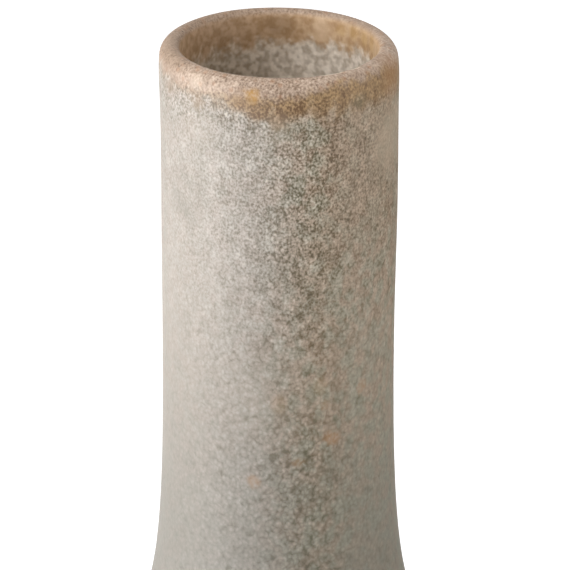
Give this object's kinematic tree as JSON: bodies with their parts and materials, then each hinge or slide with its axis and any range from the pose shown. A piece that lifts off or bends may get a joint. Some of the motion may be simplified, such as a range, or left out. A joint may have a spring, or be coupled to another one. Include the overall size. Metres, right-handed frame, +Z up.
{
  "type": "vase",
  "caption": "Long-necked bottle vase in celadon-glazed stoneware, with a rounded iron-brown lip, a globular body and a bare foot ring.",
  "frame": {"origin": "centre of the foot ring's flat underside, where the vase meets the table", "axes": "+Z up along the axis of revolution, from the foot to the mouth; X and Y are alike"},
  "size_m": [0.152, 0.152, 0.295],
  "materials": {
    "stoneware": "matte",
    "slip": "matte",
    "burnt_clay": "matte",
    "celadon_glaze": "satin",
    "iron_lip_glaze": "satin",
    "inner_glaze": "satin"
  },
  "bodies": {
    "root": {"neck": "stoneware", "neck_luting_slip": "slip", "shoulder": "stoneware", "belly_luting_slip": "slip", "bowl": "stoneware", "foot_luting_slip": "slip", "foot_ring": "burnt_clay", "outer_glaze": "celadon_glaze", "lip_glaze": "iron_lip_glaze", "inner_glaze": "inner_glaze", "base_glaze": "celadon_glaze"}
  },
  "joints": []
}
